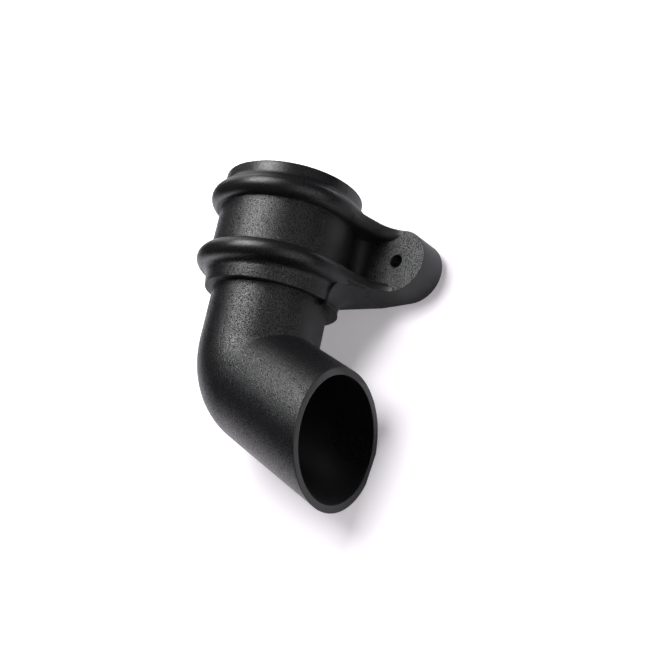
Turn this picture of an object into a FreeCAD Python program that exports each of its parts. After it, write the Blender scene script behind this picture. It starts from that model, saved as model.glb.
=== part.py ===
"""Downpipe shoe for a round rainwater pipe, moulded in one piece.

A beaded socket takes the end of the downpipe, two lugs beside it screw to the wall, and below it a short
bend throws the water to one side, along the wall. Millimetres. Z runs up the socket axis, +X is the way
the water leaves and +Y points at the wall. The origin is on the socket axis, level with the screw holes.
"""
import FreeCAD, Part
import math
import os

# Water way
DOWNPIPE_DIAMETER = 68.0
SOCKET_CLEARANCE = 0.4
PIPE_WALL = 3.6
SOCKET_FLOOR = 3.9
LEAD_IN = 2.2

# Socket outside, heights measured from the screw holes
RIM_HEIGHT = 34.1
LIP_DROP = 35.0
COLLAR_WALL = 5.9
NECK_STEP = 1.0
BAND_STEP = 0.6
LIP_TAPER = 1.0
RIM_ROUND = 0.8

# Beads round the socket
BEAD_SPACING = 38.2
BEAD_RADIUS = 6.0
BEAD_PROUD = 6.8
BEAD_COVE = 4.0

# Bend and outlet
BEND_DROP = 65.7
BEND_RADIUS = 24.5
BEND_TURN = 65.4
OUTLET_REACH = 70.1

# Lugs and the bracket that joins them behind the socket
HOLE_SPACING = 117.0
HOLE_DIAMETER = 8.0
LUG_RADIUS = 19.0
LUG_DEPTH = 20.0
WALL_DISTANCE = 54.2
SHOULDER_HALF_WIDTH = 40.0
SHOULDER_HALF_HEIGHT = 21.3
FACE_SKIN = 3.6
SIDE_SKIN = 3.0
BOSS_DIAMETER = 15.0

# Curves that carry the socket into the lugs, seen from above
RIB_LEAVES_AT = 5.0
RIB_LEAN = 13.0
RIB_EASE_RADIUS = 40.0
RIB_FOOT_RADIUS = 13.0
SHOULDER_ROUND = 4.0
SHOULDER_UNDER = 0.2
RIB_SINK = 0.1
COLLAR_FILLET = 8.0

# Skirt round the back half of the socket, which reaches below the lip and sweeps out under the bracket
SKIRT_DROP = 37.1
SKIRT_FLARE = 0.5
SKIRT_SWEEP = 13.4
SKIRT_INSET = 2.5

# Room for a cutter to pass the face that it cuts
CUT_PAST = 2.0

# Sizes that follow from the ones above
PIPE_RADIUS = DOWNPIPE_DIAMETER / 2
PIPE_BORE_RADIUS = PIPE_RADIUS - PIPE_WALL
SOCKET_RADIUS = PIPE_RADIUS + SOCKET_CLEARANCE
COLLAR_RADIUS = SOCKET_RADIUS + COLLAR_WALL
NECK_RADIUS = COLLAR_RADIUS + NECK_STEP
BAND_RADIUS = COLLAR_RADIUS - BAND_STEP
LIP_RADIUS = BAND_RADIUS - LIP_TAPER
SKIRT_RADIUS = BAND_RADIUS + SKIRT_FLARE
BEAD_HEIGHT = BEAD_SPACING / 2
BEAD_RING = COLLAR_RADIUS + BEAD_PROUD - BEAD_RADIUS
FACE_Y = WALL_DISTANCE - LUG_DEPTH
HOLE_X = HOLE_SPACING / 2
SOCKET_SEAT = SOCKET_FLOOR - LIP_DROP
UP = FreeCAD.Vector(0, 0, 1)
BACK = FreeCAD.Vector(0, 1, 0)
CENTRE = FreeCAD.Vector(0, 0, 0)


def point(x, y, z):
    return FreeCAD.Vector(x, y, z)


def line(start, end):
    return Part.LineSegment(start, end).toShape()


def arc(start, middle, end):
    return Part.Arc(start, middle, end).toShape()


def face_of(edges):
    return Part.Face(Part.Wire(edges))


def heading(angle):
    """Level direction at an angle from +X, in degrees."""
    turn = math.radians(angle)
    return point(math.cos(turn), math.sin(turn), 0)


def cylinder(radius, start, direction, length):
    return Part.makeCylinder(radius, length, start, direction)


def joined(shapes):
    whole = shapes[0]
    for shape in shapes[1:]:
        whole = whole.fuse(shape)
    return whole


def without(shape, cutters):
    for cutter in cutters:
        shape = shape.cut(cutter)
    return shape


def cove(wall_radius, bead_height, side):
    """Concave arc between a bead and the plain wall beside it, on its upper (+1) or lower (-1) side.

    Returns the point on the bead, a point half way round and the point on the wall, in the XZ plane.
    """
    reach = BEAD_RADIUS + BEAD_COVE
    across = wall_radius + BEAD_COVE - BEAD_RING
    rise = math.sqrt(reach ** 2 - across ** 2)
    middle = point(wall_radius + BEAD_COVE, 0, bead_height + side * rise)
    bead = point(BEAD_RING, 0, bead_height)
    on_bead = bead + (middle - bead) * (BEAD_RADIUS / reach)
    on_wall = point(wall_radius, 0, middle.z)
    inward = (on_bead - middle) + (on_wall - middle)
    inward.normalize()
    return on_bead, middle + inward * BEAD_COVE, on_wall


def socket_outside():
    """Turned outside of the socket: lip, band, lower bead, collar, upper bead, neck and rim."""
    crease = BEAD_HEIGHT - math.sqrt(BEAD_RADIUS ** 2 - (BEAD_RING - COLLAR_RADIUS) ** 2)
    crest = BEAD_RING + BEAD_RADIUS
    low_bead, low_middle, low_wall = cove(BAND_RADIUS, -BEAD_HEIGHT, -1)
    high_bead, high_middle, high_wall = cove(NECK_RADIUS, BEAD_HEIGHT, 1)
    foot = point(0, 0, -LIP_DROP)
    lip = point(LIP_RADIUS, 0, -LIP_DROP)
    low_crease = point(COLLAR_RADIUS, 0, -crease)
    high_crease = point(COLLAR_RADIUS, 0, crease)
    rim_side = point(NECK_RADIUS, 0, RIM_HEIGHT - RIM_ROUND)
    rim_top = point(NECK_RADIUS - RIM_ROUND, 0, RIM_HEIGHT)
    bevel = RIM_ROUND * (1 - math.sqrt(0.5))
    rim_middle = point(NECK_RADIUS - bevel, 0, RIM_HEIGHT - bevel)
    top = point(0, 0, RIM_HEIGHT)
    profile = face_of([
        line(foot, lip),
        line(lip, low_wall),
        arc(low_wall, low_middle, low_bead),
        arc(low_bead, point(crest, 0, -BEAD_HEIGHT), low_crease),
        line(low_crease, high_crease),
        arc(high_crease, point(crest, 0, BEAD_HEIGHT), high_bead),
        arc(high_bead, high_middle, high_wall),
        line(high_wall, rim_side),
        arc(rim_side, rim_middle, rim_top),
        line(rim_top, top),
        line(top, foot),
    ])
    return profile.revolve(CENTRE, UP, 360)


def bent_pipe(radius, top):
    """Solid of a round pipe that comes down the socket axis, turns towards +X and runs past the outlet.

    The bend is tighter than the pipe is wide, so its inner side is a mitre and its outer side is round.
    """
    pivot = point(BEND_RADIUS, 0, -BEND_DROP)
    half_chord = math.sqrt(radius ** 2 - BEND_RADIUS ** 2)
    near = point(BEND_RADIUS, -half_chord, -BEND_DROP)
    far = point(BEND_RADIUS, half_chord, -BEND_DROP)
    section = face_of([arc(near, point(-radius, 0, -BEND_DROP), far), line(far, near)])
    turn = math.radians(BEND_TURN)
    away = point(math.sin(turn), 0, -math.cos(turn))
    bend_end = pivot - point(math.cos(turn), 0, math.sin(turn)) * BEND_RADIUS
    run = (OUTLET_REACH - bend_end.x + radius * math.cos(turn)) / math.sin(turn) + CUT_PAST
    drop = cylinder(radius, point(0, 0, -BEND_DROP), UP, top + BEND_DROP)
    bend = section.revolve(pivot, -BACK, BEND_TURN)
    outlet = cylinder(radius, bend_end, away, run)
    return joined([drop, bend, outlet])


def rib_section(centre, outward, inward):
    """Section of a rib: round like the bead, with a fuller shoulder on the side that faces the other rib.

    Outward is the way its nose points, away from the wall, and inward the way to the other rib.
    """
    root = outward * (BEAD_RADIUS - LUG_DEPTH)
    outer = centre - inward * BEAD_RADIUS
    nose = centre + outward * BEAD_RADIUS
    level = BEAD_RADIUS - SHOULDER_UNDER
    shoulder = centre + outward * level
    begins = shoulder + inward * math.sqrt(BEAD_RADIUS ** 2 - level ** 2)
    turns = shoulder + inward * (level - SHOULDER_ROUND)
    corner = turns - outward * SHOULDER_ROUND
    flank = corner + inward * SHOULDER_ROUND
    inner_root = centre + inward * level + root
    return face_of([
        arc(outer, nose, begins),
        line(begins, turns),
        arc(turns, corner + (outward + inward) * (SHOULDER_ROUND * math.sqrt(0.5)), flank),
        line(flank, inner_root),
        line(inner_root, outer + root),
        line(outer + root, outer),
    ])


def rib_plan(inset):
    """Line of the +X rib seen from above, drawn in from its crest by inset.

    It eases off the bead round the socket, runs straight and then turns along the lug, just under its face.
    Returns the three points where a stretch begins, the centres of its two curves and the point where it ends.
    """
    start = heading(RIB_LEAVES_AT)
    lean = heading(-RIB_LEAN)
    along = heading(90 - RIB_LEAN)
    ease = RIB_EASE_RADIUS + inset
    foot = RIB_FOOT_RADIUS + inset
    leaves = start * (BEAD_RING + BEAD_RADIUS - inset)
    ease_centre = leaves + start * ease
    eased = ease_centre - lean * ease
    lands_y = FACE_Y + RIB_SINK + inset
    turns_y = lands_y - foot * (1 - math.sin(math.radians(RIB_LEAN)))
    turns = eased + along * ((turns_y - eased.y) / along.y)
    foot_centre = turns + lean * foot
    lands = foot_centre + BACK * foot
    return leaves, eased, turns, ease_centre, foot_centre, lands


def lug_rib(height):
    """Rib that carries a bead off the socket and down onto the face of the +X lug."""
    leaves, eased, turns, ease_centre, foot_centre, lands = [
        place + UP * height for place in rib_plan(BEAD_RADIUS)]
    start = heading(RIB_LEAVES_AT)
    lean = heading(-RIB_LEAN)
    inward = UP * -math.copysign(1, height)
    return [
        rib_section(leaves, start, inward).revolve(ease_centre, -UP, RIB_LEAVES_AT + RIB_LEAN),
        rib_section(eased, lean, inward).extrude(turns - eased),
        rib_section(turns, lean, inward).revolve(foot_centre, -UP, 90 - RIB_LEAN),
    ]


def behind_ribs():
    """Block of everything between the noses of the ribs and the wall, from the screw holes to below the skirt."""
    leaves, eased, turns, ease_centre, foot_centre, lands = rib_plan(SKIRT_INSET)
    ease_middle = ease_centre - heading((RIB_LEAVES_AT - RIB_LEAN) / 2) * (RIB_EASE_RADIUS + SKIRT_INSET)
    foot_middle = foot_centre - heading(-(RIB_LEAN + 90) / 2) * (RIB_FOOT_RADIUS + SKIRT_INSET)
    at_wall = point(lands.x, WALL_DISTANCE, 0)

    def flipped(place):
        return point(-place.x, place.y, place.z)

    edges = [
        line(flipped(leaves), leaves),
        arc(leaves, ease_middle, eased),
        line(eased, turns),
        arc(turns, foot_middle, lands),
        line(lands, at_wall),
        line(at_wall, flipped(at_wall)),
        line(flipped(at_wall), flipped(lands)),
        arc(flipped(lands), flipped(foot_middle), flipped(turns)),
        line(flipped(turns), flipped(eased)),
        arc(flipped(eased), flipped(ease_middle), flipped(leaves)),
    ]
    return face_of(edges).extrude(UP * -(SKIRT_DROP + CUT_PAST))


def bracket_outline(inset, front, back):
    """Block with the outline of both lugs and the bracket between them, drawn in by inset."""
    radius = LUG_RADIUS - inset
    shoulder = point(SHOULDER_HALF_WIDTH, front, SHOULDER_HALF_HEIGHT - inset)
    lug = point(HOLE_X, front, 0)
    apart = shoulder - lug
    angle = math.atan2(apart.z, apart.x) - math.acos(radius / apart.Length)
    touch = lug + point(math.cos(angle), 0, math.sin(angle)) * radius

    def flipped(place, side_x, side_z):
        return point(place.x * side_x, place.y, place.z * side_z)

    edges = [
        line(flipped(shoulder, -1, 1), shoulder),
        line(shoulder, touch),
        arc(touch, lug + point(radius, 0, 0), flipped(touch, 1, -1)),
        line(flipped(touch, 1, -1), flipped(shoulder, 1, -1)),
        line(flipped(shoulder, 1, -1), flipped(shoulder, -1, -1)),
        line(flipped(shoulder, -1, -1), flipped(touch, -1, -1)),
        arc(flipped(touch, -1, -1), point(-HOLE_X - radius, front, 0), flipped(touch, -1, 1)),
        line(flipped(touch, -1, 1), flipped(shoulder, -1, 1)),
    ]
    return face_of(edges).extrude(BACK * (back - front))


def collar_fillet():
    """Upright hollow that blends the collar into the face of the +X lug, between the two ribs."""
    centre_y = FACE_Y - COLLAR_FILLET
    centre_x = math.sqrt((COLLAR_RADIUS + COLLAR_FILLET) ** 2 - centre_y ** 2)
    centre = point(centre_x, centre_y, -BEAD_HEIGHT)
    axis = point(0, 0, -BEAD_HEIGHT)
    on_collar = axis + (centre - axis) * (COLLAR_RADIUS / (COLLAR_RADIUS + COLLAR_FILLET))
    on_face = point(centre_x, FACE_Y, -BEAD_HEIGHT)
    inward = (on_collar - centre) + (on_face - centre)
    inward.normalize()
    behind = point(centre_x, FACE_Y + FACE_SKIN, -BEAD_HEIGHT)
    within = point(on_collar.x - COLLAR_WALL, FACE_Y + FACE_SKIN, -BEAD_HEIGHT)
    inside = point(on_collar.x - COLLAR_WALL, on_collar.y, -BEAD_HEIGHT)
    profile = face_of([
        arc(on_collar, centre + inward * COLLAR_FILLET, on_face),
        line(on_face, behind),
        line(behind, within),
        line(within, inside),
        line(inside, on_collar),
    ])
    return profile.extrude(UP * BEAD_SPACING)


def skirt():
    """Foot of the socket's back half: a flared ring that sweeps out in a hollow curve under the bracket."""
    reach = BAND_RADIUS + SKIRT_SWEEP
    inner = PIPE_RADIUS - PIPE_WALL / 2
    sweeps_at = -SHOULDER_HALF_HEIGHT - SKIRT_SWEEP
    top = SIDE_SKIN - SHOULDER_HALF_HEIGHT
    diagonal = SKIRT_SWEEP * math.sqrt(0.5)
    on_band = point(BAND_RADIUS, 0, sweeps_at)
    middle = point(reach - diagonal, 0, sweeps_at + diagonal)
    on_bracket = point(reach, 0, -SHOULDER_HALF_HEIGHT)
    profile = face_of([
        line(point(inner, 0, -SKIRT_DROP), point(SKIRT_RADIUS, 0, -SKIRT_DROP)),
        line(point(SKIRT_RADIUS, 0, -SKIRT_DROP), on_band),
        arc(on_band, middle, on_bracket),
        line(on_bracket, point(reach, 0, top)),
        line(point(reach, 0, top), point(inner, 0, top)),
        line(point(inner, 0, top), point(inner, 0, -SKIRT_DROP)),
    ])
    return profile.revolve(CENTRE, UP, 180).common(behind_ribs())


def both_sides(shapes):
    """The shapes of the +X lug together with their mirror images on the other lug."""
    return shapes + [shape.mirror(CENTRE, point(1, 0, 0)) for shape in shapes]


def bracket():
    """Lugs with the ribs and hollows that join them to the socket, trimmed to the bracket's outline."""
    crest = BEAD_RING + BEAD_RADIUS
    plate = bracket_outline(0, FACE_Y, WALL_DISTANCE)
    trim = bracket_outline(0, -crest, WALL_DISTANCE)
    ribs = lug_rib(BEAD_HEIGHT) + lug_rib(-BEAD_HEIGHT)
    flowing = both_sides([rib.common(trim) for rib in ribs] + [collar_fillet()])
    return [plate, skirt()] + flowing


def bracket_hollow():
    """Room behind the lugs and round the back of the socket, open to the wall, clear of the screw bosses."""
    hollow = bracket_outline(SIDE_SKIN, FACE_Y + FACE_SKIN, WALL_DISTANCE + CUT_PAST)
    bosses = []
    for side in (-1, 1):
        start = point(side * HOLE_X, FACE_Y, 0)
        bosses.append(cylinder(BOSS_DIAMETER / 2, start, BACK, LUG_DEPTH))
    socket = cylinder(COLLAR_RADIUS, point(0, 0, -LIP_DROP), UP, LIP_DROP + RIM_HEIGHT)
    return without(hollow, [socket] + bosses)


def screw_holes():
    length = LUG_DEPTH + 2 * CUT_PAST
    holes = []
    for side in (-1, 1):
        start = point(side * HOLE_X, FACE_Y - CUT_PAST, 0)
        holes.append(cylinder(HOLE_DIAMETER / 2, start, BACK, length))
    return holes


def water_way():
    """Socket bore with its lead-in, the seat that stops the downpipe, and the bore through the bend."""
    depth = RIM_HEIGHT - SOCKET_SEAT
    bore = cylinder(SOCKET_RADIUS, point(0, 0, SOCKET_SEAT), UP, depth)
    lead_in = Part.makeCone(
        SOCKET_RADIUS, SOCKET_RADIUS + LEAD_IN, 2 * LEAD_IN, point(0, 0, RIM_HEIGHT - 2 * LEAD_IN), UP)
    return [bore, lead_in, bent_pipe(PIPE_BORE_RADIUS, SOCKET_SEAT)]


def past_outlet():
    """Everything beyond the upright plane where the outlet is cut off."""
    size = 4 * OUTLET_REACH
    corner = point(OUTLET_REACH, -size / 2, -BEND_DROP - size)
    return Part.makeBox(size, size, size, corner)


def downpipe_shoe():
    pipe = bent_pipe(PIPE_RADIUS, SOCKET_SEAT).cut(past_outlet())
    outside = joined([socket_outside(), pipe] + bracket())
    moulding = without(outside, [bracket_hollow()] + screw_holes() + water_way())
    return moulding.removeSplitter().Solids[0]


os.makedirs("parts", exist_ok=True)
shoe = downpipe_shoe()
shoe.exportStep("parts/downpipe_shoe.step")
box = shoe.optimalBoundingBox()
print("solids", len(shoe.Solids), "valid", shoe.isValid(), "volume", round(shoe.Volume))
print("box", [round(v, 2) for v in (box.XMin, box.YMin, box.ZMin, box.XMax, box.YMax, box.ZMax)])
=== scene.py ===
"""Looks and studio of a moulded downpipe shoe, laid out as a Blender add-on.

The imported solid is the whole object, one black plastic moulding, so the script gives it its finish and sets
up the table that it lies on, the soft light over it and the camera. Metres, in the frame of the solid:
Z runs up the socket, +X is the way the water leaves and +Y points at the wall, here down to the table.
"""

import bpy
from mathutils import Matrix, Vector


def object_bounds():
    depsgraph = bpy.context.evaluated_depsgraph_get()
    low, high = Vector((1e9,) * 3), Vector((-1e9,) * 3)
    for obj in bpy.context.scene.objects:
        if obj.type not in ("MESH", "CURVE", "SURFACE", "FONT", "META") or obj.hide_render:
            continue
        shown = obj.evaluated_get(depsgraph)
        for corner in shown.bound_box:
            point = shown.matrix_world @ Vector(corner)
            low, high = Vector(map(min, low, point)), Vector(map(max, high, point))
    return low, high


bl_info = {
    "name": "Downpipe Shoe",
    "version": (1, 0, 0),
    "blender": (4, 5, 0),
    "location": "View3D > Sidebar > Downpipe Shoe",
    "description": "Finish of a moulded downpipe shoe, with its table, light and camera",
    "category": "Object",
}

import math

import bmesh
import bpy
from bpy.props import FloatProperty, FloatVectorProperty, PointerProperty
from mathutils import Matrix, Vector

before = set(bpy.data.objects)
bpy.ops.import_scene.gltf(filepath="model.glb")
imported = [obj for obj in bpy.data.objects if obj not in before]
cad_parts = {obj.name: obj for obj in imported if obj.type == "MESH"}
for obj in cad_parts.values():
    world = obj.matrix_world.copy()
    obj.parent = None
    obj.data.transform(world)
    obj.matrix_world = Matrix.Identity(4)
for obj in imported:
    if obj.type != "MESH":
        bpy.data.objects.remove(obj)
CAD_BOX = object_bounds()

NODE = "downpipe_shoe"

# Where the shoe touches the table it lies on: the back edges of the lugs, and the back of the outlet
LUG_REST = Vector((0, CAD_BOX[1].y, -0.0200))
OUTLET_REST = Vector((0, 0.0340, -0.1135))
TABLE_LIE = (OUTLET_REST - LUG_REST).normalized()
TABLE_UP = TABLE_LIE.cross(Vector((1, 0, 0)))

# The table top reaches further to the left of the shoe than to its right
TABLE_HALF_WIDTH = 0.40
TABLE_MIDDLE = LUG_REST - Vector((0.26, 0, 0)) - TABLE_LIE * 0.06

# Camera
CAMERA_EYE = Vector((0.3668, -0.3640, -0.1862))
CAMERA_AIM = Vector((0.0518, 0, -0.0554))
CAMERA_ROLL = math.radians(11.77)
SENSOR_WIDTH_MM = 36
CLOSEST_SEEN = 0.01

LAMP_DISTANCE = 0.7


def linear(code):
    """Linear colour of an sRGB hex value."""
    parts = [int(code[place:place + 2], 16) / 255 for place in (1, 3, 5)]
    return [part / 12.92 if part <= 0.04045 else ((part + 0.055) / 1.055) ** 2.4 for part in parts]


def add_node(tree, kind, inputs=None, **settings):
    """Adds a node with its settings, and links or sets its inputs."""
    made = tree.nodes.new(kind)
    for name, value in settings.items():
        setattr(made, name, value)
    for socket, value in (inputs or {}).items():
        if isinstance(value, bpy.types.NodeSocket):
            tree.links.new(value, made.inputs[socket])
        else:
            made.inputs[socket].default_value = value
    return made


def new_material(name):
    """Empty node material, or the one of that name emptied."""
    material = bpy.data.materials.get(name) or bpy.data.materials.new(name)
    material.use_nodes = True
    material.node_tree.nodes.clear()
    return material


class MouldingFinish(bpy.types.PropertyGroup):
    """Finish of the moulding."""

    plastic: FloatVectorProperty(
        name="Plastic", description="Colour of the plastic", subtype="COLOR", size=3, min=0, max=1,
        default=linear("#18181a"))
    worn: FloatVectorProperty(
        name="Grain tops", description="Colour of the rubbed tops of the grain", subtype="COLOR", size=3,
        min=0, max=1, default=linear("#232426"))
    grain_width: FloatProperty(
        name="Grain width", description="Width of one bump of the moulded grain", unit="LENGTH",
        default=0.00050)
    grain_depth: FloatProperty(
        name="Grain depth", description="Height of the grain from pit to top", unit="LENGTH",
        default=0.00009)
    edge_round: FloatProperty(
        name="Edge round", description="Radius to which the edges of the moulding are eased", unit="LENGTH",
        default=0.0009)


class StageSettings(bpy.types.PropertyGroup):
    """Table, light and camera."""

    table: FloatVectorProperty(
        name="Table", description="Colour of the table", subtype="COLOR", size=3, min=0, max=1,
        default=linear("#f5f1f6"))
    sky_level: FloatProperty(
        name="Sky level", description="Brightness of the room above the table", default=0.03, min=0)
    bounce_level: FloatProperty(
        name="Bounce level", description="Brightness of the light that comes back from below", default=1.0,
        min=0)
    overhead_level: FloatProperty(
        name="Overhead level", description="Brightness of the soft box over the table", default=10.3, min=0)
    left_level: FloatProperty(
        name="Left level", description="Brightness of the soft box at the left", default=1.4, min=0)
    right_level: FloatProperty(
        name="Right level", description="Brightness of the soft box at the right", default=0.85, min=0)
    lens: FloatProperty(
        name="Lens", description="Focal length of the camera in millimetres, for a 36 mm wide sensor",
        default=50.1)


def black_pvc(finish):
    """Black PVC-U, injection moulded, with a coarse cast grain on the faces that look to the front.

    The mould parts along the sides of the pipe, so only its front half could carry the grain. There the eye
    sees satin bumps that sparkle, shallow on the beads and the neck, with a painted glint on their tops and
    painted shade in their pits. Near the parting line, on the sides of the lugs and behind it sees a plain
    matt black skin. A pair of limits says where one turns to the other.
    """
    material = new_material("Black PVC-U, cast grain")
    tree = material.node_tree
    coords = add_node(tree, "ShaderNodeTexCoord")
    place = add_node(tree, "ShaderNodeSeparateXYZ", {0: coords.outputs["Object"]})
    facing = add_node(tree, "ShaderNodeSeparateXYZ", {0: coords.outputs["Normal"]})

    # Front half: grained as far round as the mould could draw it
    plain_turn, drawn_turn = -0.14, -0.30
    front_turn = add_node(
        tree, "ShaderNodeMapRange",
        {"Value": facing.outputs["Y"], "From Min": plain_turn, "From Max": drawn_turn},
        interpolation_type="SMOOTHSTEP")
    behind_parting, before_parting = 0.001, -0.003
    front_side = add_node(
        tree, "ShaderNodeMapRange",
        {"Value": place.outputs["Y"], "From Min": behind_parting, "From Max": before_parting})
    front = add_node(
        tree, "ShaderNodeMath", {0: front_turn.outputs[0], 1: front_side.outputs[0]}, operation="MULTIPLY")

    # Beads and neck: the grain is shallow where the socket is wider than its collar
    collar_radius, bead_foot_radius = 0.0405, 0.0412
    socket_foot = -0.03
    shallow = 0.45
    across = add_node(
        tree, "ShaderNodeVectorMath", {0: coords.outputs["Object"], 1: (1, 1, 0)}, operation="MULTIPLY")
    radius = add_node(tree, "ShaderNodeVectorMath", {0: across.outputs[0]}, operation="LENGTH")
    wide = add_node(
        tree, "ShaderNodeMapRange",
        {"Value": radius.outputs["Value"], "From Min": collar_radius, "From Max": bead_foot_radius})
    socket = add_node(
        tree, "ShaderNodeMath", {0: place.outputs["Z"], 1: socket_foot}, operation="GREATER_THAN")
    proud = add_node(
        tree, "ShaderNodeMath", {0: wide.outputs[0], 1: socket.outputs[0]}, operation="MULTIPLY")
    fade = add_node(
        tree, "ShaderNodeMapRange", {"Value": proud.outputs[0], "To Min": 1.0, "To Max": shallow})
    body = add_node(tree, "ShaderNodeMath", {0: front.outputs[0], 1: fade.outputs[0]}, operation="MULTIPLY")

    # Lugs: only their flat faces are grained
    collar_side, lug_start = 0.0400, 0.0415
    curved_turn, flat_turn = -0.90, -0.98
    aside = add_node(tree, "ShaderNodeMath", {0: place.outputs["X"]}, operation="ABSOLUTE")
    lug_side = add_node(
        tree, "ShaderNodeMapRange",
        {"Value": aside.outputs[0], "From Min": collar_side, "From Max": lug_start})
    lug_turn = add_node(
        tree, "ShaderNodeMapRange",
        {"Value": facing.outputs["Y"], "From Min": curved_turn, "From Max": flat_turn},
        interpolation_type="SMOOTHSTEP")
    lug = add_node(
        tree, "ShaderNodeMath", {0: lug_side.outputs[0], 1: lug_turn.outputs[0]}, operation="MULTIPLY")
    grained = add_node(tree, "ShaderNodeMath", {0: body.outputs[0], 1: lug.outputs[0]}, operation="MAXIMUM")

    # Outlet end: shut off by plain steel, so it has the satin of the grain without its bumps
    wall_turn, end_face_turn = 0.95, 0.99
    outlet_top = -0.08
    end_turn = add_node(
        tree, "ShaderNodeMapRange",
        {"Value": facing.outputs["X"], "From Min": wall_turn, "From Max": end_face_turn})
    end_low = add_node(
        tree, "ShaderNodeMath", {0: place.outputs["Z"], 1: outlet_top}, operation="LESS_THAN")
    end = add_node(
        tree, "ShaderNodeMath", {0: end_turn.outputs[0], 1: end_low.outputs[0]}, operation="MULTIPLY")
    clean = add_node(tree, "ShaderNodeMath", {0: front.outputs[0], 1: end.outputs[0]}, operation="MAXIMUM")
    satin = add_node(tree, "ShaderNodeMath", {0: clean.outputs[0], 1: lug.outputs[0]}, operation="MAXIMUM")

    # Grain: rounded bumps with finer ones between them, from -0.5 in the pits to 0.5 on the tops
    # It is drawn as coarse as it needs to show, a little under a pixel of a picture of the whole shoe
    bumps = add_node(
        tree, "ShaderNodeTexNoise",
        {"Vector": coords.outputs["Object"], "Scale": 1 / finish.grain_width, "Detail": 1.0,
         "Roughness": 0.5})
    noise_pit, noise_top = 0.3, 0.7
    grain = add_node(
        tree, "ShaderNodeMapRange",
        {"Value": bumps.outputs["Fac"], "From Min": noise_pit, "From Max": noise_top, "To Min": -0.5,
         "To Max": 0.5},
        clamp=False)
    height = add_node(
        tree, "ShaderNodeMath", {0: grain.outputs[0], 1: grained.outputs[0]}, operation="MULTIPLY")

    # Skin: the faint unevenness of any moulding
    skin_width = 0.012
    skin_depth = 0.00004
    skin = add_node(
        tree, "ShaderNodeTexNoise",
        {"Vector": coords.outputs["Object"], "Scale": 1 / skin_width, "Detail": 4.0, "Roughness": 0.55})

    # Form: eased edges, then the skin, then the grain
    eased = add_node(tree, "ShaderNodeBevel", {"Radius": finish.edge_round}, samples=6)
    wavy = add_node(
        tree, "ShaderNodeBump",
        {"Strength": 1.0, "Distance": skin_depth, "Height": skin.outputs["Fac"], "Normal": eased.outputs[0]})
    bumpy = add_node(
        tree, "ShaderNodeBump",
        {"Strength": 1.0, "Distance": finish.grain_depth, "Height": height.outputs[0],
         "Normal": wavy.outputs[0]})

    # Wear and painted light: tops are rubbed paler, their specular level is raised as a painted glint, and in
    # the pits it is lowered as painted shade
    wear_start, wear_full = 0.1, 0.5
    tops = add_node(
        tree, "ShaderNodeMapRange",
        {"Value": height.outputs[0], "From Min": wear_start, "From Max": wear_full})
    # Specular level: painted shade in the pits, rising to a painted glint on the tops
    pit_shade_height, top_glint_height = -0.3, 0.25
    pit_shade_level, top_glint_level = 0.08, 0.88
    painted_glint_and_pit_shade = add_node(
        tree, "ShaderNodeMapRange",
        {"Value": height.outputs[0], "From Min": pit_shade_height, "From Max": top_glint_height,
         "To Min": pit_shade_level, "To Max": top_glint_level})
    colour = add_node(
        tree, "ShaderNodeMix",
        {"Factor": tops.outputs[0], "A": (*finish.plastic, 1), "B": (*finish.worn, 1)},
        data_type="RGBA")

    # Roughness: plain skin is matt and grained skin satin, patchy with the skin and smoother on the tops
    plain_roughness, satin_roughness = 0.48, 0.28
    skin_patches = 0.1
    top_polish = -0.12
    matt = add_node(
        tree, "ShaderNodeMapRange",
        {"Value": satin.outputs[0], "To Min": plain_roughness, "To Max": satin_roughness})
    uneven = add_node(
        tree, "ShaderNodeMath", {0: skin.outputs["Fac"], 1: skin_patches, 2: matt.outputs[0]},
        operation="MULTIPLY_ADD")
    rubbed = add_node(
        tree, "ShaderNodeMath", {0: height.outputs[0], 1: top_polish, 2: uneven.outputs[0]},
        operation="MULTIPLY_ADD")
    pvc_ior = 1.54
    # Its specular level carries the painted glint and the painted pit shade of the grain
    shader = add_node(
        tree, "ShaderNodeBsdfPrincipled",
        {"Base Color": colour.outputs["Result"], "Roughness": rubbed.outputs[0], "IOR": pvc_ior,
         "Specular IOR Level": painted_glint_and_pit_shade.outputs[0], "Normal": bumpy.outputs[0]})
    add_node(tree, "ShaderNodeOutputMaterial", {"Surface": shader.outputs[0]})
    return material


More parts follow.
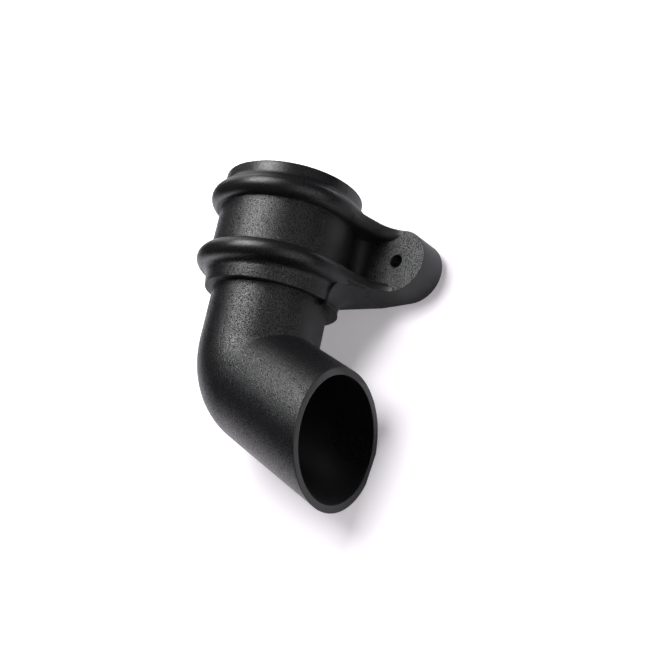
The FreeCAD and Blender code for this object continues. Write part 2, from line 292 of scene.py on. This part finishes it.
def white_table(colour):
    """Matt white laminate: the eye sees a plain bright top that keeps the soft shadow of the shoe.

    From below the table isn't there: its underside is clear, and it shades nothing that is seen through it.
    """
    material = new_material("White laminate")
    tree = material.node_tree
    side = add_node(tree, "ShaderNodeNewGeometry")
    path = add_node(tree, "ShaderNodeLightPath")
    below = add_node(
        tree, "ShaderNodeMath", {0: side.outputs["Backfacing"], 1: path.outputs["Transparent Depth"]},
        operation="ADD", use_clamp=True)

    # To the camera, and in part to the gloss of the shoe, the top is brighter than the light makes it
    # It is so only a little under the lug, which keeps the shadow, and plain white away from the shoe
    shadow_reach, white_reach = 0.07, 0.24
    shadow_lift, white_lift = 0.30, 1.0
    gloss_share = 0.5
    coords = add_node(tree, "ShaderNodeTexCoord")
    under_lug = LUG_REST + Vector((0.04, 0, 0)) + TABLE_LIE * 0.02
    away = add_node(
        tree, "ShaderNodeVectorMath", {0: coords.outputs["Object"], 1: under_lug}, operation="DISTANCE")
    lift = add_node(
        tree, "ShaderNodeMapRange",
        {"Value": away.outputs["Value"], "From Min": shadow_reach, "From Max": white_reach,
         "To Min": shadow_lift, "To Max": white_lift})
    seen = add_node(
        tree, "ShaderNodeMath",
        {0: path.outputs["Is Glossy Ray"], 1: gloss_share, 2: path.outputs["Is Camera Ray"]},
        operation="MULTIPLY_ADD")
    glow = add_node(
        tree, "ShaderNodeMath", {0: seen.outputs[0], 1: lift.outputs[0]}, operation="MULTIPLY")
    matt = add_node(tree, "ShaderNodeBsdfDiffuse", {"Color": (*colour, 1)})
    lifted = add_node(tree, "ShaderNodeEmission", {"Color": (*colour, 1), "Strength": glow.outputs[0]})
    top = add_node(tree, "ShaderNodeAddShader", {0: matt.outputs[0], 1: lifted.outputs[0]})
    clear = add_node(tree, "ShaderNodeBsdfTransparent")
    both = add_node(
        tree, "ShaderNodeMixShader", {0: below.outputs[0], 1: top.outputs[0], 2: clear.outputs[0]})
    add_node(tree, "ShaderNodeOutputMaterial", {"Surface": both.outputs[0]})
    return material


def set_sky(sky_level, bounce_level):
    """Dim room above the table and bright bounce from far below it, seen by the camera as plain white."""
    bounce_below, room_above = -0.80, -0.45
    world = bpy.data.worlds.new("Studio")
    world.use_nodes = True
    tree = world.node_tree
    tree.nodes.clear()
    coords = add_node(tree, "ShaderNodeTexCoord")
    rise = add_node(
        tree, "ShaderNodeVectorMath", {0: coords.outputs["Generated"], 1: TABLE_UP}, operation="DOT_PRODUCT")
    level = add_node(
        tree, "ShaderNodeMapRange",
        {"Value": rise.outputs["Value"], "From Min": bounce_below, "From Max": room_above,
         "To Min": bounce_level, "To Max": sky_level})
    path = add_node(tree, "ShaderNodeLightPath")
    strength = add_node(
        tree, "ShaderNodeMix", {"Factor": path.outputs["Is Camera Ray"], "A": level.outputs[0], "B": 1.0})
    sky = add_node(tree, "ShaderNodeBackground", {"Color": (1, 1, 1, 1), "Strength": strength.outputs[0]})
    add_node(tree, "ShaderNodeOutputWorld", {"Surface": sky.outputs[0]})
    bpy.context.scene.world = world


def add_table(colour):
    """Table top under the shoe."""
    mesh = bpy.data.meshes.new("table")
    shape = bmesh.new()
    lie = TABLE_UP.to_track_quat("Z", "Y").to_matrix().to_4x4()
    bmesh.ops.create_grid(
        shape, x_segments=1, y_segments=1, size=TABLE_HALF_WIDTH,
        matrix=Matrix.Translation(TABLE_MIDDLE) @ lie)
    shape.to_mesh(mesh)
    shape.free()
    table = bpy.data.objects.new("table", mesh)
    bpy.context.scene.collection.objects.link(table)
    mesh.materials.append(white_table(colour))


def add_soft_box(name, elevation, turn, width, length, level):
    """Soft box that faces the shoe from a fixed distance.

    Elevation is above the table and turn is round it, from +X towards the rim of the socket, in degrees.
    Level is how bright the box itself is, whatever its size.
    """
    middle = (CAD_BOX[0] + CAD_BOX[1]) / 2
    rise = math.radians(elevation)
    round_table = math.radians(turn)
    flat = Vector((1, 0, 0)) * math.cos(round_table) - TABLE_LIE * math.sin(round_table)
    towards = TABLE_UP * math.sin(rise) + flat * math.cos(rise)
    data = bpy.data.lights.new(name, "AREA")
    data.shape = "RECTANGLE"
    data.size = width
    data.size_y = length
    data.energy = level * math.pi * width * length
    lamp = bpy.data.objects.new(name, data)
    lamp.location = middle + towards * LAMP_DISTANCE
    lamp.rotation_euler = towards.to_track_quat("Z", "Y").to_euler()
    bpy.context.scene.collection.objects.link(lamp)


def add_camera(lens):
    """Camera at the height and turn of the photograph."""
    data = bpy.data.cameras.new("camera")
    data.lens = lens
    data.sensor_width = SENSOR_WIDTH_MM
    data.clip_start = CLOSEST_SEEN
    camera = bpy.data.objects.new("camera", data)
    level = (CAMERA_AIM - CAMERA_EYE).to_track_quat("-Z", "Y").to_matrix()
    rolled = level @ Matrix.Rotation(CAMERA_ROLL, 3, "Z")
    camera.matrix_world = Matrix.Translation(CAMERA_EYE) @ rolled.to_4x4()
    bpy.context.scene.collection.objects.link(camera)
    bpy.context.scene.camera = camera


class SHOE_OT_moulding(bpy.types.Operator):
    """Give the moulding its black grained plastic"""

    bl_idname = "shoe.moulding"
    bl_label = "Finish Moulding"

    def execute(self, context):
        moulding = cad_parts[NODE]
        moulding.data.materials.clear()
        moulding.data.materials.append(black_pvc(context.scene.shoe_finish))
        return {"FINISHED"}


class SHOE_OT_stage(bpy.types.Operator):
    """Set up the table, the light and the camera"""

    bl_idname = "shoe.stage"
    bl_label = "Build Stage"

    def execute(self, context):
        settings = context.scene.shoe_stage
        context.scene.view_settings.view_transform = "Standard"
        set_sky(settings.sky_level, settings.bounce_level)
        add_table(settings.table)
        add_soft_box(
            "overhead box", elevation=76, turn=114, width=0.31, length=0.52, level=settings.overhead_level)
        add_soft_box(
            "left box", elevation=22, turn=128, width=0.45, length=0.45, level=settings.left_level)
        add_soft_box(
            "right box", elevation=19, turn=-18, width=0.5, length=0.9, level=settings.right_level)
        add_camera(settings.lens)
        return {"FINISHED"}


class SHOE_PT_panel(bpy.types.Panel):
    """Sidebar panel of the downpipe shoe"""

    bl_idname = "SHOE_PT_panel"
    bl_label = "Downpipe Shoe"
    bl_space_type = "VIEW_3D"
    bl_region_type = "UI"
    bl_category = "Downpipe Shoe"

    def draw(self, context):
        for settings in (context.scene.shoe_finish, context.scene.shoe_stage):
            column = self.layout.column()
            for name in settings.__annotations__:
                column.prop(settings, name)
        self.layout.operator(SHOE_OT_moulding.bl_idname)
        self.layout.operator(SHOE_OT_stage.bl_idname)


CLASSES = (MouldingFinish, StageSettings, SHOE_OT_moulding, SHOE_OT_stage, SHOE_PT_panel)


def register():
    """Registers the classes and hangs the settings on the scene."""
    for kind in CLASSES:
        bpy.utils.register_class(kind)
    bpy.types.Scene.shoe_finish = PointerProperty(type=MouldingFinish)
    bpy.types.Scene.shoe_stage = PointerProperty(type=StageSettings)


def unregister():
    """Takes the settings and the classes away again."""
    del bpy.types.Scene.shoe_stage
    del bpy.types.Scene.shoe_finish
    for kind in reversed(CLASSES):
        bpy.utils.unregister_class(kind)


def main():
    """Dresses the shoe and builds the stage."""
    register()
    bpy.ops.shoe.moulding()
    bpy.ops.shoe.stage()


if __name__ == "__main__":
    main()
